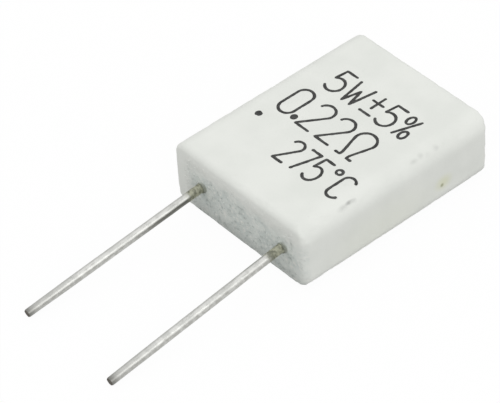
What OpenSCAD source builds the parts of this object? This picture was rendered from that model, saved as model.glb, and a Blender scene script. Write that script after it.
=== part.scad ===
// Radial power resistor in a white ceramic case, in millimetres.
// The case lies on its back face with +Z up out of the printed face. The leads leave its open end along -Y
// and slope down until their tips touch the surface that it lies on.
// The origin is the centre of the back face.

/* [Ceramic case] */
// Width across the two leads
case_w = 14; // [13:0.1:18]
// Length from the open lead end to the closed end
case_l = 17.8; // [16:0.1:26]
// Thickness from the back face to the printed face
case_t = 5.55; // [4.8:0.05:8]
// Radius along the two long edges of the printed face
upper_edge_r = 1.45; // [0.5:0.05:1.6]
// Radius along the two long edges of the back face
lower_edge_r = 1.05; // [0.5:0.05:1.1]
// Radius along the edges that run across the two ends
end_edge_r = 0.45; // [0.2:0.05:0.6]
// Radius along the four short edges through the thickness
short_edge_r = 0.55; // [0.2:0.05:0.8]

/* [Pocket for the element] */
// Wall under each wide face
wall_wide = 1.15; // [0.9:0.05:1.4]
// Wall along each narrow side
wall_side = 1.5; // [1:0.05:1.6]
// Wall at the closed end
wall_end = 1.6; // [1.2:0.1:3]
// Radius of the pocket's long inner corners
pocket_r = 0.6; // [0.3:0.05:0.9]

/* [Cement filling] */
// Depth of the cement's skin below the rim of the case
cement_recess = 0.1; // [0.05:0.05:0.3]
// Radius of the hollow collar that the cement forms round each lead
collar_r = 0.25; // [0.2:0.05:0.4]
// Thickness of that collar where it ends on the lead
collar_lip = 0.05; // [0.03:0.01:0.1]

/* [Lead wires] */
// Wire diameter
lead_d = 0.7; // [0.5:0.05:0.8]
// Distance of each lead's middle from the side wall of the pocket, before the pair is shifted
lead_inset = 1.2; // [1:0.05:2]
// Distance of the pair's middle from the middle of the case
pair_shift = 0.35; // [0:0.05:0.4]
// How far the tips lie from the rim, along the case's length
lead_reach = 15.6; // [10:0.05:30]
// Radius of the bend where each lead leaves its collar, on the wire's middle
bend_r = 3; // [2:0.1:5]
// How much thicker the wire is in its bend
bend_swell = 0.02; // [0.02:0.01:0.04]
// How far the left lead's bend is turned out from straight down, in degrees
left_turn = 17; // [0:1:30]
// How far the right lead's bend is turned from straight down, in degrees
right_turn = 6; // [0:1:30]
// Length over which each wire necks down to its cut tip
neck_l = 4; // [1:0.5:6]
// Diameter at the left lead's cut tip
left_tip_d = 0.62; // [0.5:0.01:0.7]
// Diameter at the right lead's cut tip
right_tip_d = 0.65; // [0.5:0.01:0.7]

/* [Resistance plate] */
// Thickness of the alloy sheet
plate_t = 0.2; // [0.15:0.01:0.3]
// Number of strips in the zigzag, an even number
strip_count = 8; // [4:2:8]
// Width of the slits between the strips
slit_w = 0.3; // [0.2:0.05:0.4]
// Distance of the plate from the rim
plate_setback = 2.6; // [1.5:0.1:4]
// Distance of the plate from the pocket's floor
plate_end_gap = 1.4; // [0.5:0.1:3]
// Length of wire that lies welded on the plate
weld_l = 3; // [1.5:0.1:5]
// Depth to which the weld flattens the wire
weld_flat = 0.1; // [0.05:0.01:0.12]

/* [Hidden] */
$fn = 64;

rim_y = -case_l / 2;
skin_y = rim_y + cement_recess;
floor_y = case_l / 2 - wall_end;
mid_z = case_t / 2;
pocket_w = case_w - 2 * wall_side;
pocket_t = case_t - 2 * wall_wide;

lead_pitch = pocket_w - 2 * lead_inset;
left_x = pair_shift - lead_pitch / 2;
right_x = pair_shift + lead_pitch / 2;

// Each lead starts to bend where its collar of cement ends.
bend_y = skin_y - collar_r;
// The straight lengths of wire reach this far into the thicker bend.
bend_bite = 0.1;
bend_reach = lead_reach + bend_y - rim_y;

strip_pitch = lead_pitch / (strip_count - 1);
strip_w = strip_pitch - slit_w;
plate_w = lead_pitch + strip_w;
plate_front_y = rim_y + plate_setback;
plate_l = floor_y - plate_end_gap - plate_front_y;
plate_top_z = mid_z - lead_d / 2 + weld_flat;
weld_end_y = plate_front_y + weld_l;

// The bend angle that brings a tip of diameter tip_d down to the surface, found by repeating the estimate.
function droop(tip_d, turn, rounds = 8, angle = 8) =
    rounds == 0 ? angle :
    let (
        tip_z = tip_d / 2 * sqrt(1 - pow(sin(angle) * cos(turn), 2)),
        run = bend_reach - bend_r * tan(angle / 2)
    )
    droop(tip_d, turn, rounds - 1, atan((mid_z - tip_z) / (run * cos(turn))));

// A rectangle centred on the origin, with one radius for its two upper corners and one for its two lower ones.
module rounded_rectangle(width, height, upper_r, lower_r) {
    translate([-width / 2, lower_r - height / 2])
        square([width, height - upper_r - lower_r]);
    translate([upper_r - width / 2, 0])
        square([width - 2 * upper_r, height / 2]);
    translate([lower_r - width / 2, -height / 2])
        square([width - 2 * lower_r, height / 2]);
    for (x = [-1, 1]) {
        translate([x * (width / 2 - upper_r), height / 2 - upper_r])
            circle(upper_r);
        translate([x * (width / 2 - lower_r), lower_r - height / 2])
            circle(lower_r);
    }
}

// A rounded profile across the case, drawn along Y from start_y to end_y.
module along_case(width, thickness, upper_r, lower_r, start_y, end_y) {
    translate([0, end_y, mid_z])
        rotate([90, 0, 0])
            linear_extrude(end_y - start_y)
                rounded_rectangle(width, thickness, upper_r, lower_r);
}

// The solid block: three rounded profiles, one along each axis, that each round four of its edges.
module case_block() {
    intersection() {
        along_case(case_w, case_t, upper_edge_r, lower_edge_r, rim_y, -rim_y);
        linear_extrude(case_t)
            rounded_rectangle(case_w, case_l, short_edge_r, short_edge_r);
        translate([-case_w / 2, 0, mid_z])
            rotate([90, 0, 90])
                linear_extrude(case_w)
                    rounded_rectangle(case_l, case_t, end_edge_r, end_edge_r);
    }
}

module ceramic_case() {
    color([0.9, 0.91, 0.88])
        difference() {
            case_block();
            along_case(pocket_w, pocket_t, pocket_r, pocket_r, rim_y - 1, floor_y);
        }
}

// The hollow-sided collar of cement that climbs each lead where it leaves the skin.
module cement_collar(x) {
    outer_r = lead_d / 2 + collar_lip + collar_r;
    translate([x, skin_y, mid_z])
        rotate([90, 0, 0])
            rotate_extrude()
                difference() {
                    square([outer_r, collar_r]);
                    translate([outer_r, collar_r])
                        circle(collar_r - collar_lip / 2);
                }
}

module cement_fill() {
    color([0.67, 0.69, 0.67])
        difference() {
            union() {
                along_case(pocket_w, pocket_t, pocket_r, pocket_r, skin_y, floor_y);
                cement_collar(left_x);
                cement_collar(right_x);
            }
            plate_solid();
            lead_wire(left_x, left_turn, left_tip_d);
            lead_wire(right_x, right_turn, right_tip_d);
        }
}

// One slit of the zigzag, open at the edge y = 0 and round at its closed end.
module slit() {
    slit_l = plate_l - strip_w - slit_w / 2;
    translate([-slit_w / 2, -1])
        square([slit_w, slit_l + 1]);
    translate([0, slit_l])
        circle(slit_w / 2);
}

// The stamped sheet: slits from alternate edges leave one long strip that runs to and fro between the leads.
module plate_solid() {
    translate([pair_shift, plate_front_y, plate_top_z - plate_t])
        linear_extrude(plate_t)
            difference() {
                translate([-plate_w / 2, 0])
                    square([plate_w, plate_l]);
                for (i = [1 : strip_count - 1])
                    translate([(i - strip_count / 2) * strip_pitch, i % 2 == 1 ? 0 : plate_l])
                        mirror([0, i % 2 == 1 ? 0 : 1])
                            slit();
            }
}

module resistance_plate() {
    color([0.72, 0.6, 0.48])
        plate_solid();
}

// A round wire from its welded end, out through the cement, round its bend and down to its tip.
module lead_wire(x, turn, tip_d) {
    angle = droop(tip_d, turn);
    run_l = (bend_reach - bend_r * sin(angle)) / cos(angle);
    translate([x, 0, mid_z])
        rotate([0, turn, 0]) {
            translate([0, weld_end_y, 0])
                rotate([90, 0, 0])
                    cylinder(h = weld_end_y - bend_y + bend_bite, d = lead_d);
            translate([0, bend_y, -bend_r])
                rotate([180, 0, 0])
                    rotate([0, 90, 0])
                        rotate_extrude(angle = angle)
                            translate([bend_r, 0])
                                circle(d = lead_d + bend_swell);
            translate([0, bend_y - bend_r * sin(angle), bend_r * (cos(angle) - 1)])
                rotate([90 + angle, 0, 0])
                    rotate_extrude()
                        polygon([
                            [0, -bend_bite],
                            [lead_d / 2, -bend_bite],
                            [lead_d / 2, run_l - neck_l],
                            [tip_d / 2, run_l],
                            [0, run_l]
                        ]);
        }
}

// A lead, with the flat that welding it to the plate leaves on its underside.
module lead(x, turn, tip_d) {
    color([0.78, 0.78, 0.76])
        difference() {
            lead_wire(x, turn, tip_d);
            plate_solid();
        }
}

module lead_left() {
    lead(left_x, left_turn, left_tip_d);
}

module lead_right() {
    lead(right_x, right_turn, right_tip_d);
}

ceramic_case();
cement_fill();
resistance_plate();
lead_left();
lead_right();
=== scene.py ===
# %% [markdown]
# # A radial power resistor in a white ceramic case
#
# The real part is a small ceramic box with one open end. A zigzag plate of resistance alloy sits inside it,
# grey cement fills the box round the plate, and two tinned wires come out through the cement. It lies on its
# back, with printed ratings upwards and the tips of its wires on the table.
#
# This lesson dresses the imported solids, and nothing here moves them. The file goes through the camera, the
# ceramic, the cement, the wires, the ink and the plate inside, and ends with the table and the lights.

# %% Load the solids and keep their box
import math

import bpy
import numpy as np
from mathutils import Matrix, Vector


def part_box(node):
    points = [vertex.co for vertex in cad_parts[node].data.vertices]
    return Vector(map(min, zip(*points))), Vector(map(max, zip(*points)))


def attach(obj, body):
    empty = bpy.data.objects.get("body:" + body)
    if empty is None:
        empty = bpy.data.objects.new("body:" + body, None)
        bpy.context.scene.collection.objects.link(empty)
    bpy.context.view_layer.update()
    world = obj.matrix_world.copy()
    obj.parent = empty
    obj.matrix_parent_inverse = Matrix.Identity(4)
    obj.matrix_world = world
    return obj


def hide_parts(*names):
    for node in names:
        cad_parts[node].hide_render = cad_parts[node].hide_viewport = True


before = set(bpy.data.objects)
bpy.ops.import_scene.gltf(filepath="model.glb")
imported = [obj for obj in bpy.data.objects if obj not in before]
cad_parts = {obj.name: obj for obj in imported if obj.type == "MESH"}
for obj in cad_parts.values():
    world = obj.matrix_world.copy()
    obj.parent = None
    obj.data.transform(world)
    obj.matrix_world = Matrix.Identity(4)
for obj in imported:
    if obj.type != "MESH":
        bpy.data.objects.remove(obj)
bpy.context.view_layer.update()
MM = 0.001
print("nodes:", sorted(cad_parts))

# %% [markdown]
# ## The camera
#
# A camera is a place, a direction and a lens. The photograph's were worked out from the six corners of the
# box's outline: it was taken from the right of the wires, rather above, with a long lens, which keeps the far
# end of the box almost as large as the near one. The lens stays centred, so no shift is needed.

# %% Set the camera
PHOTO_WIDTH, FOCAL_PIXELS = 500, 2924.4
AZIMUTH, ELEVATION, ROLL = (math.radians(a) for a in (51.158, 42.662, -3.587))
EYE_RIGHT, EYE_UP, EYE_BACK = -5.865, -3.293, 210.26
SENSOR_WIDTH = 36.0
NEAREST_SEEN = 0.005

back = Vector((
    math.sin(AZIMUTH) * math.cos(ELEVATION),
    -math.cos(AZIMUTH) * math.cos(ELEVATION),
    math.sin(ELEVATION),
))
right = Vector((math.cos(AZIMUTH), math.sin(AZIMUTH), 0.0))
up = back.cross(right)
camera_right = math.cos(ROLL) * right + math.sin(ROLL) * up
camera_up = back.cross(camera_right)

case_low, case_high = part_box("ceramic_case")
case_middle = (case_low + case_high) / 2
eye = case_middle + (EYE_RIGHT * camera_right + EYE_UP * camera_up + EYE_BACK * back) * MM

camera_data = bpy.data.cameras.new("camera")
camera_data.sensor_width = SENSOR_WIDTH
camera_data.lens = FOCAL_PIXELS / PHOTO_WIDTH * SENSOR_WIDTH
camera_data.clip_start = NEAREST_SEEN
camera = bpy.data.objects.new("camera", camera_data)
camera.matrix_world = Matrix((
    (camera_right.x, camera_up.x, back.x, eye.x),
    (camera_right.y, camera_up.y, back.y, eye.y),
    (camera_right.z, camera_up.z, back.z, eye.z),
    (0.0, 0.0, 0.0, 1.0),
))
bpy.context.scene.collection.objects.link(camera)
bpy.context.scene.camera = camera
print("camera at", [round(v / MM, 1) for v in eye], "mm, lens", round(camera_data.lens, 1), "mm")

# %% [markdown]
# ## Short helpers for node trees
#
# Materials and Geometry Nodes are both trees of nodes. One helper adds a node and fills its inputs: a plain
# value is set on the input itself, and an output of another node is linked to it. Blender works in metres, so
# the helpers whose inputs end in mm take millimetres and turn them into metres.

# %% Helpers for any node tree
def fill(tree, node, inputs):
    for key, value in inputs.items():
        if isinstance(value, bpy.types.NodeSocket):
            tree.links.new(value, node.inputs[key])
        else:
            node.inputs[key].default_value = value


def add(tree, kind, inputs=None, **settings):
    made = tree.nodes.new(kind)
    for name, value in settings.items():
        setattr(made, name, value)
    fill(tree, made, inputs or {})
    return made


def maths(tree, operation, a, b=0.0, c=0.0):
    return add(tree, "ShaderNodeMath", {0: a, 1: b, 2: c}, operation=operation).outputs[0]


def product(tree, value, *factors):
    for factor in factors:
        value = maths(tree, "MULTIPLY", value, factor)
    return value


def vector_maths(tree, operation, inputs):
    return add(tree, "ShaderNodeVectorMath", inputs, operation=operation).outputs


def scaled(tree, vector, factor):
    return vector_maths(tree, "SCALE", {0: vector, "Scale": factor})[0]


def centred(tree, vector):
    return vector_maths(tree, "SUBTRACT", {0: vector, 1: (0.5, 0.5, 0.5)})[0]


def split(tree, vector):
    return add(tree, "ShaderNodeSeparateXYZ", {0: vector}).outputs


def ramp(tree, value, low, high, at_low=0.0, at_high=1.0):
    inputs = {"Value": value, "From Min": low, "From Max": high, "To Min": at_low, "To Max": at_high}
    return add(tree, "ShaderNodeMapRange", inputs, interpolation_type="SMOOTHSTEP").outputs["Result"]


def ramp_mm(tree, value, low_mm, high_mm, at_low=0.0, at_high=1.0):
    return ramp(tree, value, low_mm * MM, high_mm * MM, at_low, at_high)


def noise(tree, vector, detail, roughness=0.5):
    inputs = {"Vector": vector, "Scale": 1.0, "Detail": detail, "Roughness": roughness}
    return add(tree, "ShaderNodeTexNoise", inputs).outputs


# %% Helpers for materials
SPECKLE_ROUGHNESS = 0.55


def new_finish(name):
    material = bpy.data.materials.new(name)
    material.use_nodes = True
    tree = material.node_tree
    tree.nodes.clear()
    shader = add(tree, "ShaderNodeBsdfPrincipled")
    add(tree, "ShaderNodeOutputMaterial", {"Surface": shader.outputs[0]})
    coords = add(tree, "ShaderNodeTexCoord").outputs["Object"]
    return material, tree, shader, coords


def blend(tree, amount, a, b):
    return add(tree, "ShaderNodeMix", {0: amount, 6: a, 7: b}, data_type="RGBA").outputs[2]


def speckle(tree, coords, size_mm, detail=2.0, stretch=(1, 1, 1)):
    scale = tuple(s / (size_mm * MM) for s in stretch)
    placed = add(tree, "ShaderNodeMapping", {"Vector": coords, "Scale": scale}).outputs[0]
    return noise(tree, placed, detail, SPECKLE_ROUGHNESS)[0]


def blot(tree, coords, centre_mm, radii_mm, soft):
    place = tuple(-c / r for c, r in zip(centre_mm, radii_mm))
    scale = tuple(1 / (r * MM) for r in radii_mm)
    placed = add(tree, "ShaderNodeMapping", {"Vector": coords, "Location": place, "Scale": scale}).outputs[0]
    far = vector_maths(tree, "LENGTH", {0: placed})["Value"]
    return ramp(tree, far, 1.0 - soft, 1.0, 1.0, 0.0)


def bump(tree, height, strength, depth_mm, under=None):
    inputs = {"Height": height, "Strength": strength, "Distance": depth_mm * MM}
    if under is not None:
        inputs["Normal"] = under
    return add(tree, "ShaderNodeBump", inputs).outputs[0]


def dress_solid(node, material):
    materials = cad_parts[node].data.materials
    materials.clear()
    materials.append(material)


# %% Helpers for Geometry Nodes
SOCKETS = {float: "NodeSocketFloat", int: "NodeSocketInt"}


def new_tree(name, sizes):
    tree = bpy.data.node_groups.new(name, "GeometryNodeTree")
    tree.interface.new_socket("Geometry", in_out="INPUT", socket_type="NodeSocketGeometry")
    for label, value in sizes.items():
        made = tree.interface.new_socket(label, in_out="INPUT", socket_type=SOCKETS[type(value)])
        made.default_value = value
    tree.interface.new_socket("Geometry", in_out="OUTPUT", socket_type="NodeSocketGeometry")
    return tree, tree.nodes.new("NodeGroupInput").outputs, tree.nodes.new("NodeGroupOutput").inputs


def end_tree(tree, geometry, material, group_out):
    real = add(tree, "GeometryNodeRealizeInstances", {"Geometry": geometry}).outputs[0]
    dressed = add(tree, "GeometryNodeSetMaterial", {"Geometry": real, "Material": material}).outputs[0]
    tree.links.new(dressed, group_out[0])


def position_of(tree):
    return add(tree, "GeometryNodeInputPosition").outputs[0]


def normal_of(tree):
    return add(tree, "GeometryNodeInputNormal").outputs[0]


def noise_of_size(tree, size, detail):
    return noise(tree, scaled(tree, position_of(tree), maths(tree, "DIVIDE", 1.0, size)), detail)


def shifted(tree, geometry, offset):
    return add(tree, "GeometryNodeSetPosition", {"Geometry": geometry, "Offset": offset}).outputs[0]


def fine_path(tree, geometry, step_mm):
    path = add(tree, "GeometryNodeMeshToCurve", {"Mesh": geometry}).outputs[0]
    inputs = {"Curve": path, "Length": step_mm * MM}
    return add(tree, "GeometryNodeResampleCurve", inputs, mode="LENGTH").outputs[0]


def from_both_ends(tree):
    along = add(tree, "GeometryNodeSplineParameter").outputs["Length"]
    total = add(tree, "GeometryNodeSplineLength").outputs["Length"]
    return along, maths(tree, "SUBTRACT", total, along)


def shortfall(tree, length, full):
    return maths(tree, "SUBTRACT", 1.0, maths(tree, "MINIMUM", maths(tree, "DIVIDE", length, full), 1.0))


def round_sweep(tree, path, radius, sides):
    circle = add(tree, "GeometryNodeCurvePrimitiveCircle", {"Resolution": sides, "Radius": 1.0}).outputs[0]
    inputs = {"Curve": path, "Profile Curve": circle, "Scale": radius, "Fill Caps": True}
    return add(tree, "GeometryNodeCurveToMesh", inputs).outputs[0]


# %% Helpers that make a piece and give it its place in the part
def grown(name, start_mesh, tree, sizes):
    carrier = bpy.data.objects.new(name + "_start", start_mesh)
    bpy.context.scene.collection.objects.link(carrier)
    modifier = carrier.modifiers.new("grow", "NODES")
    modifier.node_group = tree
    for item in tree.interface.items_tree:
        if item.in_out == "INPUT" and item.name in sizes:
            modifier[item.identifier] = sizes[item.name]
    depsgraph = bpy.context.evaluated_depsgraph_get()
    mesh = bpy.data.meshes.new_from_object(carrier.evaluated_get(depsgraph), depsgraph=depsgraph)
    mesh.name = name
    bpy.data.objects.remove(carrier)
    piece = bpy.data.objects.new(name, mesh)
    bpy.context.scene.collection.objects.link(piece)
    return piece


def settle(piece, slot, *nodes, sharp_degrees=180):
    piece.data.polygons.foreach_set("use_smooth", [True] * len(piece.data.polygons))
    if sharp_degrees < 180:
        piece.data.set_sharp_from_angle(angle=math.radians(sharp_degrees))
    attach(piece, "root")
    if nodes:
        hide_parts(*nodes)
    print(piece.name, "has", len(piece.data.polygons), "faces")


# %% [markdown]
# ## The ceramic's shape
#
# The case is pressed from ceramic powder and fired. Its long edges are well rounded, the edges round its two
# ends are tighter, and the roundings melt into each other at the corners. A bevelled cube has one radius for
# all its edges, so the shape is drawn by a rule instead: a fine grid on a box is pushed out from a core until
# it meets the rounded block.

# %% Sizes of the case, in millimetres
half = np.array((case_high - case_low) / 2) / MM
UPPER_EDGE, LOWER_EDGE, LEFT_EDGE = 1.45, 1.05, 0.65
END_EDGE, LEAD_EDGE, SHORT_EDGE = 0.45, 0.62, 0.55
CORE_DEPTH, PUSH_LIMIT = 1.06, 2.0
POCKET_HALF_X, POCKET_HALF_Z, POCKET_RADIUS = 5.5, 1.625, 0.6
POCKET_FLOOR = 7.3
print("case half sizes:", half.round(3), "mm")


# %% The rounded block as a distance
def rounded_rectangle(a, b, half_a, half_b, radius):
    qa, qb = np.abs(a) - half_a + radius, np.abs(b) - half_b + radius
    outside = np.hypot(np.maximum(qa, 0), np.maximum(qb, 0))
    return outside + np.minimum(np.maximum(qa, qb), 0) - radius


def case_distance(p):
    x, y, z = p[:, 0], p[:, 1], p[:, 2]
    long_edge = np.where(z > 0, UPPER_EDGE, np.where(x < 0, LEFT_EDGE, LOWER_EDGE))
    end_edge = np.where((y < 0) & (z > 0), LEAD_EDGE, END_EDGE)
    across = rounded_rectangle(x, z, half[0], half[2], long_edge)
    along = rounded_rectangle(y, z, half[1], half[2], end_edge)
    plan = rounded_rectangle(x, y, half[0], half[1], SHORT_EDGE)
    return np.maximum(np.maximum(across, along), plan)


# %% Lines of the grid, closer together where an edge turns
GRID_STEP, EDGE_CELLS = 0.16, 10


def grid_lines(half_length):
    edge = CORE_DEPTH * np.tan(np.linspace(0, math.pi / 4, EDGE_CELLS + 1))[1:]
    flat = half_length - CORE_DEPTH
    middle = np.linspace(-flat, flat, max(2, round(2 * flat / GRID_STEP)) + 1)
    return np.concatenate([-(flat + edge[::-1]), middle, flat + edge])


lines = [grid_lines(size) for size in half]
counts = np.array([len(line) - 1 for line in lines])
print("grid cells along x, y, z:", counts)

# %% The box's six sides, open where the pocket's mouth will be
keys, quads = {}, []


def corner(i, j, k):
    return keys.setdefault((i, j, k), len(keys))


def side(*corners):
    quads.append(tuple(corner(*place) for place in corners))


nx, ny, nz = (int(count) for count in counts)
first, last_x, last_z = EDGE_CELLS, nx - EDGE_CELLS, nz - EDGE_CELLS
for i in range(nx):
    for j in range(ny):
        side((i, j, 0), (i, j + 1, 0), (i + 1, j + 1, 0), (i + 1, j, 0))
        side((i, j, nz), (i + 1, j, nz), (i + 1, j + 1, nz), (i, j + 1, nz))
    for k in range(nz):
        side((i, ny, k), (i, ny, k + 1), (i + 1, ny, k + 1), (i + 1, ny, k))
        if not (first <= i < last_x and first <= k < last_z):
            side((i, 0, k), (i + 1, 0, k), (i + 1, 0, k + 1), (i, 0, k + 1))
for j in range(ny):
    for k in range(nz):
        side((0, j, k), (0, j, k + 1), (0, j + 1, k + 1), (0, j + 1, k))
        side((nx, j, k), (nx, j + 1, k), (nx, j + 1, k + 1), (nx, j, k + 1))
mouth = [corner(i, 0, first) for i in range(first, last_x)]
mouth += [corner(last_x, 0, k) for k in range(first, last_z)]
mouth += [corner(i, 0, last_z) for i in range(last_x, first, -1)]
mouth += [corner(first, 0, k) for k in range(last_z, first, -1)]
print("mouth loop:", len(mouth), "corners")

# %% Push the grid out to the rounded block, halving the doubt each time
HALVINGS = 40
grid = np.array(list(keys))
points = np.stack([lines[axis][grid[:, axis]] for axis in range(3)], axis=1)
core = np.clip(points, -(half - CORE_DEPTH), half - CORE_DEPTH)
away = points - core
away /= np.linalg.norm(away, axis=1, keepdims=True)
near, far = np.zeros(len(points)), np.full(len(points), PUSH_LIMIT)
for _ in range(HALVINGS):
    middle = (near + far) / 2
    inside = case_distance(core + away * middle[:, None]) < 0
    near, far = np.where(inside, middle, near), np.where(inside, far, middle)
points = core + away * near[:, None]
print("grid points:", len(points))

# %% Melt the roundings together at the corners
EASINGS, EASE = 14, 0.5
in_edge = np.abs(grid - counts / 2) > counts / 2 - EDGE_CELLS
corner_points = in_edge.sum(axis=1) == 3
pairs = np.array([(q[a], q[(a + 1) % 4]) for q in quads for a in range(4)])
neighbours = np.bincount(pairs.ravel(), minlength=len(points))
for _ in range(EASINGS):
    total = np.zeros_like(points)
    np.add.at(total, pairs[:, 0], points[pairs[:, 1]])
    np.add.at(total, pairs[:, 1], points[pairs[:, 0]])
    mean = total / neighbours[:, None]
    points[corner_points] += EASE * (mean - points)[corner_points]
print("corner points eased:", int(corner_points.sum()))

# %% The pocket's mouth, walls and floor
LIP, LIP_LOOPS = 0.05, 4
WALL_START, WALL_LOOPS = 0.6, 5
NOT_ZERO = 1e-9


def pocket_loop(loop_points, grow, y):
    flat = loop_points[:, [0, 2]]
    size = np.array((POCKET_HALF_X, POCKET_HALF_Z)) + grow
    radius = POCKET_RADIUS + grow
    flat = flat * (size / np.abs(flat).max(axis=0))
    inner = np.clip(flat, -(size - radius), size - radius)
    way = flat - inner
    way /= np.maximum(np.linalg.norm(way, axis=1, keepdims=True), NOT_ZERO)
    flat = inner + way * radius
    return np.column_stack([flat[:, 0], np.full(len(flat), y), flat[:, 1]])


rim = points[mouth]
loops = [pocket_loop(rim, LIP * (1 - math.sin(a)), -half[1] + LIP * (1 - math.cos(a)))
         for a in np.linspace(0, math.pi / 2, LIP_LOOPS)]
loops += [pocket_loop(rim, 0.0, y) for y in np.linspace(-half[1] + WALL_START, POCKET_FLOOR, WALL_LOOPS)]
before = mouth
for loop in loops:
    fresh = list(range(len(points), len(points) + len(loop)))
    points = np.vstack([points, loop])
    for a in range(len(loop)):
        b = (a + 1) % len(loop)
        quads.append((before[a], before[b], fresh[b], fresh[a]))
    before = fresh
points = np.vstack([points, [[0.0, POCKET_FLOOR, 0.0]]])
for a in range(len(before)):
    quads.append((before[a], before[(a + 1) % len(before)], len(points) - 1))
case_start = bpy.data.meshes.new("ceramic_case_start")
case_start.from_pydata(((points + np.array(case_middle) / MM) * MM).tolist(), [], quads)
print("case start mesh:", len(quads), "faces")

# %% [markdown]
# ## The paste's colour and where it covers
#
# The case is filled with a paste of fine sand in a mineral binder, which dries grey and speckled. Some of it
# was wiped over the rim: the lower rim is covered, the right one half covered, and at the top it thins out
# towards the white edge. The cement and the ceramic share these two rules, so they meet without a hard line.
# A pair such as LOW_SHADE says where something starts and where it is full.

# %% Where the wires leave the paste, in millimetres
LEFT_X, RIGHT_X, WIRE_Z = -3.95, 4.65, 2.775
WIRE_RADIUS = 0.35
print("wires leave at x", LEFT_X, "and", RIGHT_X)

# %% Grey paste
PASTE_DARK, PASTE_PALE = (0.565, 0.607, 0.58, 1), (0.665, 0.697, 0.662, 1)
SAND_DARK, SAND_PALE = (0.408, 0.438, 0.413, 1), (0.775, 0.772, 0.728, 1)
# The ring colour on this line and the ring's place below are painted shade round each wire's exit.
LOW_GREY, EXIT_SHADE_DARK = (0.3, 0.315, 0.3, 1), (0.17, 0.18, 0.135, 1)
LOW_SHADE = (1.9, 0.4)
EXIT_SHADE_ASIDE, EXIT_SHADE_ABOVE, EXIT_SHADE_EDGE = 0.07, 0.03, (0.53, 0.36)


def paste_colour(tree, coords):
    cloudy = ramp(tree, speckle(tree, coords, 1.1, 3.0), 0.32, 0.68)
    colour = blend(tree, cloudy, PASTE_DARK, PASTE_PALE)
    sandy = speckle(tree, coords, 0.34, 3.0)
    colour = blend(tree, product(tree, ramp(tree, sandy, 0.56, 0.66), 0.78), colour, SAND_DARK)
    colour = blend(tree, product(tree, ramp(tree, sandy, 0.45, 0.34), 0.66), colour, SAND_PALE)
    place = split(tree, coords)
    colour = blend(tree, ramp_mm(tree, place[2], *LOW_SHADE, 0.0, 0.42), colour, LOW_GREY)
    # A dark ring round each wire's exit, set a little right of and above it, is painted shade where the wire
    # enters the paste.
    for wire_x in (LEFT_X, RIGHT_X):
        across = maths(tree, "SUBTRACT", place[0], (wire_x + EXIT_SHADE_ASIDE) * MM)
        upright = maths(tree, "SUBTRACT", place[2], (WIRE_Z + EXIT_SHADE_ABOVE) * MM)
        squares = maths(tree, "MULTIPLY_ADD", across, across, product(tree, upright, upright))
        ring = ramp_mm(tree, maths(tree, "SQRT", squares), *EXIT_SHADE_EDGE, 0.0, 0.8)
        colour = blend(tree, ring, colour, EXIT_SHADE_DARK)
    return colour


print("paste colours ready")

# %% How thick the paste lies on the open end
COVER_LEFT, COVER_RIGHT, COVER_TOP = (-5.8, -4.6), (8.0, 5.4), (4.5, 3.3)
WAVES_PER_METRE, WANDER = 1100.0, 0.0016


def paste_cover(tree, coords):
    waves = noise(tree, scaled(tree, coords, WAVES_PER_METRE), 4.0)[1]
    moved = scaled(tree, centred(tree, waves), WANDER)
    place = split(tree, vector_maths(tree, "ADD", {0: coords, 1: moved})[0])
    left = ramp_mm(tree, place[0], *COVER_LEFT)
    right = ramp_mm(tree, place[0], *COVER_RIGHT)
    return product(tree, left, right, ramp_mm(tree, place[2], *COVER_TOP))


print("paste cover ready")

# %% [markdown]
# ## The ceramic's finish
#
# Unglazed ceramic is off-white, a little uneven in colour and matt, with a grain too fine to see one by one.
# This one has also been handled: ink has rubbed off on its long edge, and there is a small brown spot on its
# side. All of that is placed with Object coordinates, which are the metres of the solids themselves.

# %% Colours and marks of the ceramic: each smear has a centre, radii and a strength
CERAMIC_DARK, CERAMIC_PALE = (0.735, 0.752, 0.712, 1), (0.775, 0.79, 0.75, 1)
# The second colour on the next line is a painted tint of bounced light for the right side.
FLECK_COLOUR, PAINTED_BOUNCE_TINT = (0.6, 0.61, 0.57, 1), (0.742, 0.762, 0.668, 1)
SMEAR_GREY = (0.2, 0.205, 0.2, 1)
HALO_YELLOW, SPOT_BROWN = (0.66, 0.67, 0.44, 1), (0.3, 0.31, 0.18, 1)
FILM_FADE = (-8.2, -8.75)
SMEARS = [
    ((6.49, -4.15, 5.2), (0.19, 0.52, 0.4), 0.75),
    ((6.53, -3.78, 5.16), (0.22, 0.34, 0.4), 0.35),
    ((6.56, -4.8, 5.14), (0.26, 0.8, 0.4), 0.26),
    ((6.5, 1.95, 5.2), (0.24, 0.5, 0.4), 0.2),
    ((6.45, 2.7, 5.23), (0.3, 0.36, 0.4), 0.18),
    ((6.58, 3.25, 5.12), (0.24, 0.4, 0.4), 0.1),
    ((6.52, 4.1, 5.18), (0.3, 0.42, 0.4), 0.22),
]
print("smears on the long edge:", len(SMEARS))

# %% White ceramic
ceramic, tree, shader, coords = new_finish("white_ceramic")
cloudy = ramp(tree, speckle(tree, coords, 3.5), 0.3, 0.7)
colour = blend(tree, cloudy, CERAMIC_DARK, CERAMIC_PALE)
fine = ramp(tree, speckle(tree, coords, 0.22, 3.0), 0.62, 0.8)
colour = blend(tree, product(tree, fine, 0.22), colour, FLECK_COLOUR)
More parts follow.
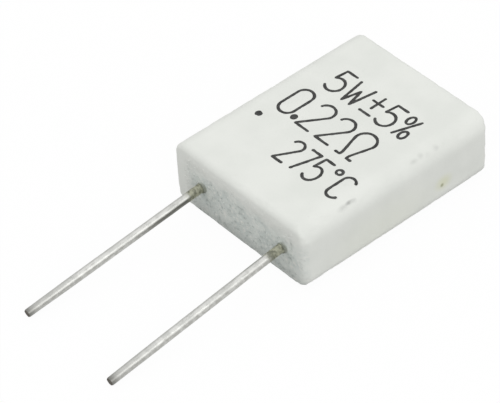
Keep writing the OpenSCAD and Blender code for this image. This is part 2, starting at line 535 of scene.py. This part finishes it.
# Painted light: a yellow-green tint over the right side stands in for coloured light bounced onto it.
painted_bounce = blot(tree, coords, centre_mm=(7.6, -1.5, 1.6), radii_mm=(1.1, 8.5, 3.6), soft=0.8)
colour = blend(tree, product(tree, painted_bounce, 0.7), colour, PAINTED_BOUNCE_TINT)
film = product(tree, paste_cover(tree, coords), ramp_mm(tree, split(tree, coords)[1], *FILM_FADE))
colour = blend(tree, film, colour, paste_colour(tree, coords))
patchy = ramp(tree, speckle(tree, coords, 0.5, 3.0, (1, 0.45, 1)), 0.3, 0.6, 0.35, 1.0)
for centre, radii, strength in SMEARS:
    smear = product(tree, blot(tree, coords, centre, radii, soft=0.95), patchy, strength)
    colour = blend(tree, smear, colour, SMEAR_GREY)
halo = blot(tree, coords, centre_mm=(7.0, 4.4, 2.0), radii_mm=(0.5, 1.15, 0.95), soft=1.0)
colour = blend(tree, product(tree, halo, 0.6), colour, HALO_YELLOW)
spot = blot(tree, coords, centre_mm=(7.0, 4.25, 1.79), radii_mm=(0.5, 0.24, 0.26), soft=0.9)
colour = blend(tree, product(tree, spot, 0.85), colour, SPOT_BROWN)
grain = bump(tree, speckle(tree, coords, 0.16, 4.0), strength=0.16, depth_mm=0.04)
swell = bump(tree, speckle(tree, coords, 2.2), strength=0.12, depth_mm=0.2, under=grain)
fill(tree, shader, {
    "Base Color": colour,
    "Roughness": ramp(tree, speckle(tree, coords, 0.8), 0.3, 0.7, 0.5, 0.62),
    "Specular IOR Level": 0.35,
    "Normal": swell,
})
print("finish:", ceramic.name)

# %% [markdown]
# ## Worn edges
#
# Pressed ceramic rarely has a perfect edge: tumbling and handling take tiny flakes off it. A Geometry Nodes
# tree does this by rule. It finds the edges by how far a face's normal is from the three axes, and sinks
# patches of them by a few hundredths of a millimetre. The wide faces stay exact, because ink lies on them.

# %% A tree that flakes the edges
tree, group_in, group_out = new_tree("worn_edges", {"Flake depth": 0.00003, "Flake size": 0.0006})
normal = normal_of(tree)
parts = split(tree, vector_maths(tree, "ABSOLUTE", {0: normal})[0])
flatness = maths(tree, "MAXIMUM", maths(tree, "MAXIMUM", parts[0], parts[1]), parts[2])
edge = ramp(tree, flatness, 0.8, 0.99, 1.0, 0.0)
patches = ramp(tree, noise_of_size(tree, group_in["Flake size"], 3.0)[0], 0.45, 0.7)
sunk = product(tree, patches, edge, group_in["Flake depth"])
flaked = shifted(tree, group_in["Geometry"], scaled(tree, normal, product(tree, sunk, -1.0)))
end_tree(tree, flaked, ceramic, group_out)
ceramic_shell = grown("ceramic_shell", case_start, tree, {"Flake depth": 0.00004, "Flake size": 0.0007})
settle(ceramic_shell, "white_ceramic", "ceramic_case")

# %% [markdown]
# ## The cement
#
# The paste dries almost level with the rim, a bit rough, with grains of sand just under its skin, and it creeps
# up each wire and over the lower rim. The solid plug is right inside the case, so it stays. Over its open face
# goes a thin skin with the roughness. Where the skin dips below the rim it is hidden, which gives its outline
# the uneven edge of a real filling.

# %% Grey cement
BARE_RIM = (0.735, 0.75, 0.712, 1)
cement, tree, shader, coords = new_finish("grey_cement")
fill(tree, shader, {
    "Base Color": blend(tree, paste_cover(tree, coords), BARE_RIM, paste_colour(tree, coords)),
    "Roughness": 0.85,
    "Specular IOR Level": 0.25,
    "Normal": bump(tree, speckle(tree, coords, 0.12, 4.0), strength=0.4, depth_mm=0.05),
})
print("finish:", cement.name)

# %% How proud of the rim the skin stands, in millimetres
RIM_Y = case_low.y / MM
SKIN_HALF_X, SKIN_LOW, SKIN_HIGH, SKIN_STEP = 6.3, -2.38, 2.24, 0.07
FILM_X, FILM_Z, FILM_HALF_X, FILM_HALF_Z, FILM_RADIUS = 0.15, -0.2, 5.85, 2.11, 0.6
RIM_FROM, RIM_OVER = -0.3, 0.5
FADE_FROM, FADE_OVER = 0.4, 0.6
SKIN_LEVEL, RIM_LIFT, EDGE_SINK = -0.014, 0.03, 0.07
COLLAR_HEIGHT, COLLAR_SPREAD, COLLAR_CURVE, COLLAR_SINK = 0.17, 0.09, 1.3, 0.05

skin_x = np.linspace(-SKIN_HALF_X, SKIN_HALF_X, round(2 * SKIN_HALF_X / SKIN_STEP) + 1)
skin_z = np.linspace(SKIN_LOW, SKIN_HIGH, round((SKIN_HIGH - SKIN_LOW) / SKIN_STEP) + 1)
gx, gz = np.meshgrid(skin_x, skin_z, indexing="ij")
past_pocket = rounded_rectangle(gx, gz, POCKET_HALF_X, POCKET_HALF_Z, POCKET_RADIUS)
past_film = rounded_rectangle(gx - FILM_X, gz - FILM_Z, FILM_HALF_X, FILM_HALF_Z, FILM_RADIUS)
on_rim = np.clip((past_pocket - RIM_FROM) / RIM_OVER, 0, 1)
faded = np.clip(past_film / FADE_OVER + FADE_FROM, 0, 1)
proud = SKIN_LEVEL + RIM_LIFT * on_rim - EDGE_SINK * faded ** 2
for wire_x in (LEFT_X, RIGHT_X):
    clear = np.maximum(np.hypot(gx - wire_x, gz) - WIRE_RADIUS, 0)
    collar = COLLAR_HEIGHT * np.exp(-(clear / COLLAR_SPREAD) ** COLLAR_CURVE) - COLLAR_SINK
    proud = np.maximum(proud, collar)
print("skin stands", proud.min().round(3), "to", proud.max().round(3), "mm proud")

# %% The skin's front and its hidden back
SKIN_DEPTH = 0.35
front = np.stack([gx, RIM_Y - proud, gz + WIRE_Z], axis=-1).reshape(-1, 3)
behind = front.copy()
behind[:, 1] = RIM_Y + SKIN_DEPTH
wide, tall = gx.shape
cells = [(i * tall + k, (i + 1) * tall + k, (i + 1) * tall + k + 1, i * tall + k + 1)
         for i in range(wide - 1) for k in range(tall - 1)]
ring = [i * tall for i in range(wide)] + [(wide - 1) * tall + k for k in range(1, tall)]
ring += [i * tall + tall - 1 for i in range(wide - 2, -1, -1)] + [k for k in range(tall - 2, 0, -1)]
count = len(front)
faces = cells + [tuple(v + count for v in reversed(cell)) for cell in cells]
faces += [(a, a + count, b + count, b) for a, b in zip(ring, ring[1:] + ring[:1])]
skin_start = bpy.data.meshes.new("cement_skin_start")
skin_start.from_pydata((np.vstack([front, behind]) * MM).tolist(), [], faces)
print("skin start mesh:", len(faces), "faces")

# %% A tree that roughens the skin and sows grains of sand in it
GRAIN_LEAST, GRAIN_FLATNESS = 0.35, 0.35
tree, group_in, group_out = new_tree("sandy_skin", {
    "Swell": 0.00003, "Swell size": 0.0012, "Roughness height": 0.00002, "Roughness size": 0.00025,
    "Grains per square metre": 4e6, "Grain size": 0.00009, "Seed": 3})
faces_out = maths(tree, "LESS_THAN", split(tree, normal_of(tree))[1], -0.05)
height = 0.0
for depth, size in (("Swell", "Swell size"), ("Roughness height", "Roughness size")):
    bumps = maths(tree, "SUBTRACT", noise_of_size(tree, group_in[size], 3.0)[0], 0.5)
    height = maths(tree, "MULTIPLY_ADD", bumps, product(tree, group_in[depth], 4.0), height)
lift = add(tree, "ShaderNodeCombineXYZ", {"Y": product(tree, height, faces_out, -1.0)}).outputs[0]
skin = shifted(tree, group_in["Geometry"], lift)
sown = add(tree, "GeometryNodeDistributePointsOnFaces", {
    "Mesh": skin, "Selection": faces_out,
    "Density": group_in["Grains per square metre"], "Seed": group_in["Seed"]}).outputs["Points"]
grain = add(tree, "GeometryNodeMeshIcoSphere", {"Radius": 1.0, "Subdivisions": 2}).outputs[0]
spread = add(tree, "FunctionNodeRandomValue", {2: GRAIN_LEAST, 3: 1.0, "Seed": group_in["Seed"]},
             data_type="FLOAT").outputs[1]
size = product(tree, spread, group_in["Grain size"])
thickness = product(tree, size, GRAIN_FLATNESS)
shape = add(tree, "ShaderNodeCombineXYZ", {0: size, 1: thickness, 2: size}).outputs[0]
grains = add(tree, "GeometryNodeInstanceOnPoints", {
    "Points": sown, "Instance": grain, "Scale": shape}).outputs[0]
joined = add(tree, "GeometryNodeJoinGeometry")
tree.links.new(skin, joined.inputs[0])
tree.links.new(grains, joined.inputs[0])
end_tree(tree, joined.outputs[0], cement, group_out)
cement_skin = grown("cement_skin", skin_start, tree, {"Swell": 0.00003, "Seed": 5})
settle(cement_skin, "grey_cement")
dress_solid("cement_fill", cement)

# %% [markdown]
# ## The wires
#
# Each lead is a drawn copper wire with a coat of tin: satin, with faint lines and flecks. Its flanks and its
# left side are painted darker than its top as shade, the left wire's underside near the case has a painted dark
# reflection, and each wire grows darker towards its tip. Close to the cement it is dull and greenish from the
# paste, and its cut end shows no tin. A wire follows a path, so a tree sweeps a circle along one. The path is
# the solid's own: straight out, a small bend, then straight down to the table.

# %% Colours of the wire, and where they lie in millimetres
TIN_DARK, TIN_PALE = (0.6, 0.605, 0.58, 1), (0.74, 0.742, 0.715, 1)
LINE_GREY, PAINTED_FLANK_SHADE = (0.3, 0.3, 0.27, 1), (0.43, 0.43, 0.405, 1)
PAINTED_LEFT_SHADE, TIPWARD_GREY = (0.38, 0.38, 0.36, 1), (0.36, 0.36, 0.34, 1)
TIN_FLECK, PAINTED_REFLECTION_DARK = (0.28, 0.28, 0.25, 1), (0.11, 0.11, 0.095, 1)
TARNISH_DARK, TARNISH_PALE = (0.15, 0.155, 0.105, 1), (0.4, 0.405, 0.3, 1)
TIP_DARK, CUT_DARK = (0.15, 0.15, 0.135, 1), (0.09, 0.08, 0.065, 1)
AXIS_FALL, AXIS_Z = 0.1625, 4.287
SLANTS, SLANT_FROM = ((LEFT_X, 0.0497), (RIGHT_X, 0.0169)), 9.3
ALONG_Y, ALONG_Z = -0.986, -0.16
FLANK_SHADE_BAND, LEFT_SHADE_BAND, NEXT_WIRE = (0.31, 0.16), (0.06, -0.14), (-0.6, -0.5)
TIPWARD_FADE, TIP, CUT = (-19.5, -24.5), (23.3, 24.2), (24.06, 24.09)
REFLECTION_BELOW_AXIS, REFLECTION_LEFT_WIRE, REFLECTION_NEAR_CASE = (0.26, 0.12), (-1.0, -2.0), (-16.2, -12.5)
DULL, RAGGED = (-10.2, -9.6), 0.8
print("wires slant by", [slant for _, slant in SLANTS])

# %% Tinned wire
tinned, tree, shader, coords = new_finish("tinned_wire")
place = split(tree, coords)
cloudy = ramp(tree, speckle(tree, coords, 0.7, 3.0), 0.35, 0.65)
colour = blend(tree, cloudy, TIN_DARK, TIN_PALE)
drawn = speckle(tree, coords, 0.09, 3.0, (1, 0.04, 1))
colour = blend(tree, product(tree, ramp(tree, drawn, 0.6, 0.72), 0.5), colour, LINE_GREY)
# Painted shade: each wire's flanks are darker than its top, below a set height over its axis.
over_axis = maths(tree, "SUBTRACT", place[2], AXIS_Z * MM)
above = maths(tree, "MULTIPLY_ADD", place[1], -AXIS_FALL, over_axis)
patchy = ramp(tree, speckle(tree, coords, 0.24, 3.0, (1, 0.7, 1)), 0.38, 0.6, 0.5, 1.0)
colour = blend(tree, product(tree, ramp_mm(tree, above, *FLANK_SHADE_BAND), patchy), colour, PAINTED_FLANK_SHADE)
# Painted shade: a darker band along the left side of each wire.
for wire_x, slant in SLANTS:
    axis_x = maths(tree, "MULTIPLY_ADD", place[1], slant, (wire_x + SLANT_FROM * slant) * MM)
    beside = maths(tree, "SUBTRACT", place[0], axis_x)
    line = product(tree, ramp_mm(tree, beside, *LEFT_SHADE_BAND), ramp_mm(tree, beside, *NEXT_WIRE), 0.62)
    colour = blend(tree, line, colour, PAINTED_LEFT_SHADE)
# Darker towards the tip.
colour = blend(tree, ramp_mm(tree, place[1], *TIPWARD_FADE, 0.0, 0.5), colour, TIPWARD_GREY)
flecks = ramp(tree, speckle(tree, coords, 0.21, 3.0, (1, 0.7, 1)), 0.57, 0.68, 0.0, 0.22)
colour = blend(tree, flecks, colour, TIN_FLECK)
# Painted dark reflection: the left wire's underside near the case is darkened as if it mirrored the shaded end
# face.
painted_dark_reflection = product(tree, ramp_mm(tree, above, *REFLECTION_BELOW_AXIS), ramp_mm(tree, place[0], *REFLECTION_LEFT_WIRE),
                 ramp_mm(tree, place[1], *REFLECTION_NEAR_CASE), 0.85)
colour = blend(tree, painted_dark_reflection, colour, PAINTED_REFLECTION_DARK)
ragged = maths(tree, "MULTIPLY_ADD", speckle(tree, coords, 0.35, 3.0), RAGGED * MM, place[1])
dull = ramp_mm(tree, ragged, *DULL)
blotchy = ramp(tree, speckle(tree, coords, 0.3, 3.0, (0.8, 1, 0.8)), 0.38, 0.6)
tarnish = blend(tree, blotchy, TARNISH_DARK, TARNISH_PALE)
colour = blend(tree, product(tree, dull, 0.92), colour, tarnish)
along = maths(tree, "MULTIPLY_ADD", place[1], ALONG_Y, product(tree, place[2], ALONG_Z))
colour = blend(tree, ramp_mm(tree, along, *TIP, 0.0, 0.85), colour, TIP_DARK)
cut = ramp_mm(tree, along, *CUT)
colour = blend(tree, cut, colour, CUT_DARK)
matt = maths(tree, "MAXIMUM", dull, cut)
fill(tree, shader, {
    "Base Color": colour,
    "Metallic": ramp(tree, matt, 0.0, 1.0, 1.0, 0.3),
    "Roughness": ramp(tree, matt, 0.0, 1.0, 0.34, 0.7),
    "Normal": bump(tree, drawn, strength=0.12, depth_mm=0.03),
})
print("finish:", tinned.name)

# %% A tree that sweeps a wire along its path
CUT_EDGE, CUT_ROUNDING = 0.1, 0.86
DENTS_PER_METRE = 1500.0
tree, group_in, group_out = new_tree("drawn_wire", {
    "Diameter": 0.0007, "Tip diameter": 0.00062, "Neck length": 0.004, "Unevenness": 0.00001, "Sides": 36})
path = fine_path(tree, group_in["Geometry"], step_mm=0.1)
_, left_over = from_both_ends(tree)
necked = shortfall(tree, left_over, group_in["Neck length"])
radius = product(tree, group_in["Diameter"], 0.5)
tip_radius = product(tree, group_in["Tip diameter"], 0.5)
radius = maths(tree, "MULTIPLY_ADD", necked, maths(tree, "SUBTRACT", tip_radius, radius), radius)
radius = product(tree, radius, ramp_mm(tree, left_over, 0.0, CUT_EDGE, CUT_ROUNDING, 1.0))
smooth_wire = round_sweep(tree, path, radius, group_in["Sides"])
dents = noise(tree, scaled(tree, position_of(tree), DENTS_PER_METRE), 2.0)[0]
uneven = product(tree, maths(tree, "SUBTRACT", dents, 0.5), product(tree, group_in["Unevenness"], 2.0))
end_tree(tree, shifted(tree, smooth_wire, scaled(tree, normal_of(tree), uneven)), tinned, group_out)
print("tree:", tree.name)

# %% The path of a wire: straight out, round its bend, straight down to the table
WELD_END_Y, BEND_Y, BEND_RADIUS, TIP_Y = -3.3, -9.05, 3.0, -24.5
BEND_POINTS = 7


def wire_path(wire_x, turn_degrees, droop_degrees):
    droop, turn = math.radians(droop_degrees), math.radians(turn_degrees)
    flat = [(WELD_END_Y, 0.0), (BEND_Y, 0.0)]
    flat += [(BEND_Y - BEND_RADIUS * math.sin(a), BEND_RADIUS * (math.cos(a) - 1))
             for a in np.linspace(0, droop, BEND_POINTS)[1:]]
    last_y, last_z = flat[-1]
    flat.append((TIP_Y, last_z - math.tan(droop) * (last_y - TIP_Y)))
    return [(wire_x + drop * math.sin(turn), y, WIRE_Z + drop * math.cos(turn)) for y, drop in flat]


# %% Both wires: the solid each replaces, its place, its turn and droop in degrees, its tip in metres
WIRES = {
    "tinned_lead_left": ("lead_left", LEFT_X, 17.0, 9.642, 0.00062),
    "tinned_lead_right": ("lead_right", RIGHT_X, 6.0, 9.216, 0.00065),
}
SHARP_DEGREES = 50
for name, (node, wire_x, turn, droop, tip) in WIRES.items():
    path = wire_path(wire_x, turn, droop)
    start = bpy.data.meshes.new(name + "_start")
    start.from_pydata([[v * MM for v in p] for p in path], [(a, a + 1) for a in range(len(path) - 1)], [])
    wire = grown(name, start, tree, {"Tip diameter": tip})
    settle(wire, "tinned_wire", node, sharp_degrees=SHARP_DEGREES)

# %% [markdown]
# ## The printed ratings
#
# The part's ratings are printed on the wide face in thin dark strokes of one width, as a plotter or a laser
# draws them. Plain generic ratings are written here, in three lines of the same size and place. A font would
# give thick outlines, so each character is a few single strokes, and a tree lays a flat bead of ink along them.

# %% Ink
INK_DARK, INK_WORN, INK_THIN = (0.03, 0.03, 0.029, 1), (0.072, 0.073, 0.07, 1), (0.4, 0.41, 0.4, 1)
ink, tree, shader, coords = new_finish("charcoal_ink")
worn = ramp(tree, speckle(tree, coords, 0.5, 4.0), 0.35, 0.75)
thin = ramp(tree, speckle(tree, coords, 0.13, 3.0), 0.66, 0.78)
colour = blend(tree, worn, INK_DARK, INK_WORN)
colour = blend(tree, product(tree, thin, 0.5), colour, INK_THIN)
fill(tree, shader, {"Base Color": colour, "Roughness": 0.6, "Specular IOR Level": 0.3})
print("finish:", ink.name)


# %% Single-stroke characters, each in a box of width w and height h
def arc(cx, cy, rx, ry, start, end, steps=16):
    turns = np.radians(np.linspace(start, end, steps))
    return [(cx + rx * math.cos(t), cy + ry * math.sin(t)) for t in turns]


def ring_stroke(cx, cy, rx, ry):
    return arc(cx, cy, rx, ry, -90, 290, 30)


def character(sign, w, h):
    r = w / 2
    if sign == "0":
        return [arc(r, r, r, r, -100, 0) + arc(r, h - r, r, r, 0, 180) + arc(r, r, r, r, 180, 275)]
    if sign == "2":
        return [arc(r, h - r, r, r, 170, -30) + [(0, 0), (w, 0)]]
    if sign == "5":
        bowl = arc(0.42 * w, 0.32 * h, 0.58 * w, 0.32 * h, 130, -150)
        return [[(w, h), (0.1 * w, h), (0, 0.55 * h)] + bowl]
    if sign == "7":
        return [[(0, h), (w, h), (0.3 * w, 0)]]
    if sign == "W":
        return [[(0, h), (0.25 * w, 0), (0.5 * w, 0.65 * h), (0.75 * w, 0), (w, h)]]
    if sign == "C":
        return [arc(r, h - r, r, r, 15, 180) + arc(r, r, r, r, 180, 345)]
    if sign == "±":
        plus = [[(0.5 * w, 0.3 * h), (0.5 * w, 0.98 * h)], [(0, 0.64 * h), (w, 0.64 * h)]]
        return plus + [[(0, 0.08 * h), (w, 0.08 * h)]]
    if sign == "%":
        upper = ring_stroke(0.22 * w, 0.8 * h, 0.22 * w, 0.18 * h)
        lower = ring_stroke(0.78 * w, 0.2 * h, 0.22 * w, 0.18 * h)
        return [upper, lower, [(0.85 * w, h), (0.15 * w, 0)]]
    if sign == "°":
        return [ring_stroke(0.5 * w, h - 0.4 * w, 0.4 * w, 0.4 * w)]
    if sign == "Ω":
        feet = [(0, 0), (0.3 * w, 0), (0.3 * w, 0.1 * h)], [(0.7 * w, 0.1 * h), (0.7 * w, 0), (w, 0)]
        return [feet[0] + arc(r, h - r, r, r, 205, -25) + feet[1]]
    raise ValueError("no strokes for " + sign)


# %% Write the three lines, and two round dots
STROKE_WIDTH, DOT_WIDTH = 0.24, 0.58
SIGN_WIDTHS = {"W": 1.25, "°": 0.6, "Ω": 1.2}
FACE_Z = case_high.z / MM
strokes = []


def write(signs, x, y, w, h, gap):
    for sign in signs:
        wide = w * SIGN_WIDTHS.get(sign, 1.0)
        for stroke in character(sign, wide, h):
            strokes.append(([(x + px, y + py) for px, py in stroke], STROKE_WIDTH))
        x += wide + gap
    return x


def dot(x, y):
    strokes.append(([(x - DOT_WIDTH / 2, y), (x, y), (x + DOT_WIDTH / 2, y)], DOT_WIDTH))


write("5W±5%", x=-3.72, y=2.58, w=1.25, h=2.45, gap=0.42)
end_x = write("0", x=-4.47, y=-1.42, w=1.4, h=3.05, gap=0.2)
dot(x=end_x + 0.25, y=-1.15)
write("22Ω", x=end_x + 0.75, y=-1.48, w=1.45, h=3.05, gap=0.62)
dot(x=-4.68, y=-2.7)
write("275°C", x=-0.57, y=-5.06, w=1.05, h=2.5, gap=0.38)
print("strokes of ink:", len(strokes))

# %% The strokes as chains of edges, each point with its width
points, edges, widths = [], [], []
for stroke, width in strokes:
    edges += [(len(points) + a, len(points) + a + 1) for a in range(len(stroke) - 1)]
    points += [(x * MM, y * MM, FACE_Z * MM) for x, y in stroke]
    widths += [width * MM] * len(stroke)
ink_start = bpy.data.meshes.new("printed_ratings_start")
ink_start.from_pydata(points, edges, [])
ink_start.attributes.new("stroke_width", "FLOAT", "POINT").data.foreach_set("value", widths)
print("points of ink:", len(points))

# %% A tree that lays a flat bead of ink along each stroke, with round ends
LEAST_END = 0.01
tree, group_in, group_out = new_tree("ink_bead", {
    "Face height": 0.0054, "Bead height": 0.12, "Waver": 0.00001, "Waver size": 0.0004, "Sides": 10})
path = fine_path(tree, group_in["Geometry"], step_mm=0.04)
waves = noise_of_size(tree, group_in["Waver size"], 2.0)
path = shifted(tree, path, scaled(tree, centred(tree, waves[1]), product(tree, group_in["Waver"], 4.0)))
to_end = maths(tree, "MINIMUM", *from_both_ends(tree))
width = add(tree, "GeometryNodeInputNamedAttribute", {"Name": "stroke_width"}).outputs[0]
radius = product(tree, width, 0.5)
short = shortfall(tree, to_end, radius)
squared = maths(tree, "SUBTRACT", 1.0, product(tree, short, short))
rounded = maths(tree, "SQRT", maths(tree, "MAXIMUM", squared, LEAST_END))
bleed = ramp(tree, waves[0], 0.3, 0.7, 0.88, 1.1)
bead = round_sweep(tree, path, product(tree, radius, rounded, bleed), group_in["Sides"])
place = split(tree, position_of(tree))
above = maths(tree, "SUBTRACT", place[2], group_in["Face height"])
flat = maths(tree, "MULTIPLY_ADD", above, group_in["Bead height"], group_in["Face height"])
pressed = add(tree, "ShaderNodeCombineXYZ", {0: place[0], 1: place[1], 2: flat}).outputs[0]
bead = add(tree, "GeometryNodeSetPosition", {"Geometry": bead, "Position": pressed}).outputs[0]
end_tree(tree, bead, ink, group_out)
printed_ratings = grown("printed_ratings", ink_start, tree, {"Face height": case_high.z})
settle(printed_ratings, None)

# %% [markdown]
# ## The plate inside
#
# The resistance plate is sealed in the cement, so its solid stays as it is. It still gets the finish of rolled
# alloy sheet, because a cutaway would show it.

# %% Rolled resistance alloy
ALLOY_DARK, ALLOY_PALE = (0.42, 0.28, 0.17, 1), (0.54, 0.38, 0.25, 1)
alloy, tree, shader, coords = new_finish("resistance_alloy")
rolled = speckle(tree, coords, 0.12, 3.0, (1, 0.05, 1))
fill(tree, shader, {
    "Base Color": blend(tree, ramp(tree, rolled, 0.35, 0.65), ALLOY_DARK, ALLOY_PALE),
    "Metallic": 1.0,
    "Roughness": ramp(tree, rolled, 0.3, 0.7, 0.3, 0.45),
})
dress_solid("resistance_plate", alloy)
print("finish:", alloy.name)

# %% [markdown]
# ## The table and the lights
#
# The photograph has a plain white ground and light from all round, with one soft lamp on the right: the upper
# long edge fades slowly from the bright top into the side, and the end with the wires is the darkest. The floor
# sends some light back up. For the camera, and for what metal reflects, the floor is paler, and most of its
# white is its own, so that it shows white and keeps a soft shadow. The levels are such that a colour renders
# about as it is written.

# %% The white table
WHITE, FLOOR_GREY, FLOOR_PALE = (1, 1, 1, 1), (0.49, 0.49, 0.49, 1), (0.93, 0.93, 0.93, 1)
OWN_WHITE = 0.95
FLOOR_HALF, FLOOR_Z = 3, -1e-5


def seen_directly(tree, share):
    path = add(tree, "ShaderNodeLightPath").outputs
    seen = maths(tree, "MAXIMUM", path["Is Camera Ray"], path["Is Glossy Ray"])
    return product(tree, maths(tree, "MAXIMUM", seen, path["Is Transmission Ray"]), share)


table = bpy.data.materials.new("white_table")
table.use_nodes = True
tree = table.node_tree
tree.nodes.clear()
pale = blend(tree, seen_directly(tree, 1.0), FLOOR_GREY, FLOOR_PALE)
matt = add(tree, "ShaderNodeBsdfDiffuse", {"Color": pale}).outputs[0]
glow = add(tree, "ShaderNodeEmission", {"Color": WHITE, "Strength": 1.0}).outputs[0]
mixed = add(tree, "ShaderNodeMixShader", {0: seen_directly(tree, OWN_WHITE), 1: matt, 2: glow}).outputs[0]
add(tree, "ShaderNodeOutputMaterial", {"Surface": mixed})
floor_corners = [(x * FLOOR_HALF, y * FLOOR_HALF, FLOOR_Z) for x, y in ((-1, -1), (1, -1), (1, 1), (-1, 1))]
floor_mesh = bpy.data.meshes.new("floor")
floor_mesh.from_pydata(floor_corners, [], [(0, 1, 2, 3)])
floor_mesh.materials.append(table)
floor = bpy.data.objects.new("floor", floor_mesh)
bpy.context.scene.collection.objects.link(floor)

# %% The lamp and the sky
KEY_PLACE, KEY_SIZE, KEY_POWER = Vector((0.46, -0.13, 0.4)), 0.5, 0.66
SKY_STRENGTH = 0.935

key_data = bpy.data.lights.new("key", "AREA")
key_data.shape = "DISK"
key_data.size = KEY_SIZE
key_data.energy = KEY_POWER
key = bpy.data.objects.new("key", key_data)
key.location = KEY_PLACE
key.rotation_euler = (case_middle - KEY_PLACE).to_track_quat("-Z", "Y").to_euler()
bpy.context.scene.collection.objects.link(key)

world = bpy.data.worlds.new("studio")
bpy.context.scene.world = world
world.use_nodes = True
tree = world.node_tree
tree.nodes.clear()
dim = add(tree, "ShaderNodeBackground", {"Color": WHITE, "Strength": SKY_STRENGTH}).outputs[0]
white = add(tree, "ShaderNodeBackground", {"Color": WHITE, "Strength": 1.0}).outputs[0]
sky = add(tree, "ShaderNodeMixShader", {0: seen_directly(tree, 1.0), 1: dim, 2: white}).outputs[0]
add(tree, "ShaderNodeOutputWorld", {"Surface": sky})
bpy.context.scene.view_settings.view_transform = "Standard"
